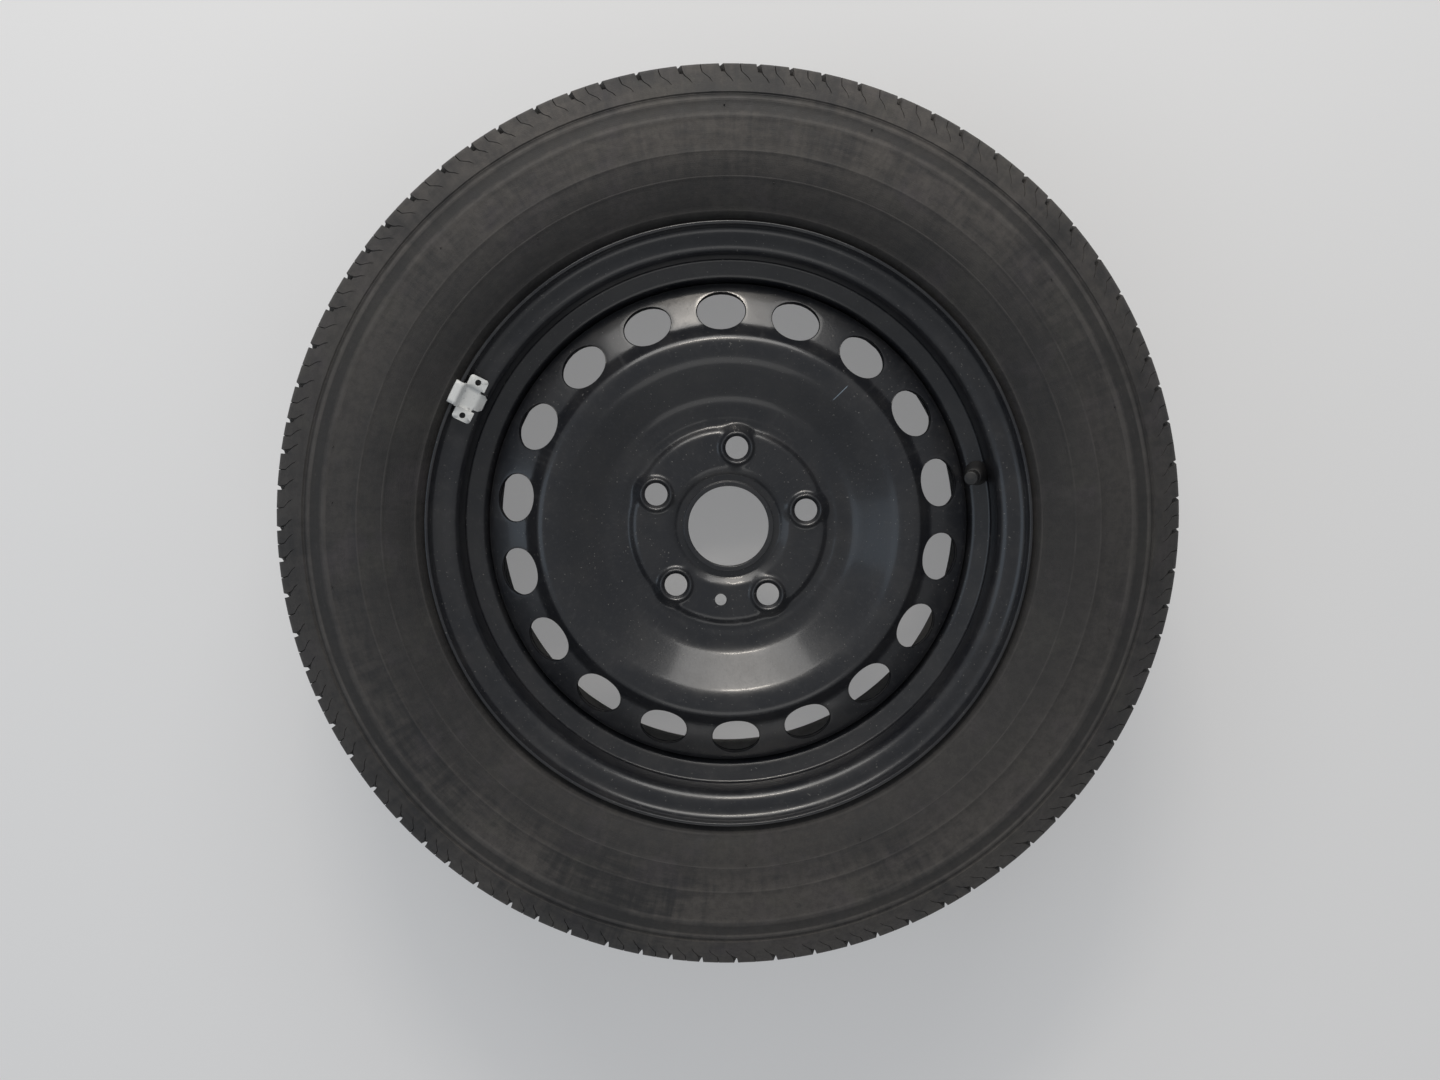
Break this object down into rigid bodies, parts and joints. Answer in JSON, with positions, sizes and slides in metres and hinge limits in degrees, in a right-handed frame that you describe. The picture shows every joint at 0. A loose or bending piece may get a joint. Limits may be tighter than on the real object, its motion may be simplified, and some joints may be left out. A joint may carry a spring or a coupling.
{
  "type": "spare wheel",
  "caption": "Pressed steel spare wheel in satin black with vent holes, a tubeless road tyre, a snap-in valve and a clip-on balance weight.",
  "frame": {"origin": "centre of the centre bore, in the plane of the hub face at the back of the disc", "axes": "+Z along the axle, out towards the face that shows when the wheel is on a car; the wheel lies flat on the tyre's inner sidewall; +X to the right and +Y up in the picture, with the first bolt hole and the valve 12 degrees from +X towards +Y"},
  "size_m": [0.6345, 0.6344, 0.2022],
  "materials": {
    "rim_paint": "satin",
    "disc_paint": "satin",
    "seam_paint": "satin",
    "tyre_rubber": "matte",
    "valve_rubber": "matte",
    "stem_brass": "satin",
    "core_brass": "satin",
    "seal_rubber": "matte",
    "spring_wire": "satin",
    "cap_plastic": "matte",
    "weight_coat": "matte"
  },
  "bodies": {
    "wheel": {"rim": "rim_paint", "disc": "disc_paint", "weld_seams": "seam_paint", "tyre": "tyre_rubber", "valve_body": "valve_rubber", "valve_stem": "stem_brass", "core_head": "core_brass", "core_barrel": "core_brass", "core_barrel_seal": "seal_rubber", "core_spring": "spring_wire", "balance_weight": "weight_coat"},
    "pin_group": {"core_pin": "core_brass", "core_cup": "core_brass", "core_cup_seal": "seal_rubber"},
    "cap": {"valve_cap": "cap_plastic"}
  },
  "joints": [
    {"name": "valve_pin_press", "type": "slide", "parent": "wheel", "child": "pin_group", "axis": [0.3233, 0.0687, -0.9438], "range_m": [0, 0.0012], "stiffness_N_per_m": 800, "springref_m": -0.001, "deforming": ["core_spring"]},
    {"name": "valve_cap_lift", "type": "slide", "parent": "wheel", "child": "cap", "axis": [-0.3233, -0.0687, 0.9438], "range_m": [0, 0.012]}
  ]
}
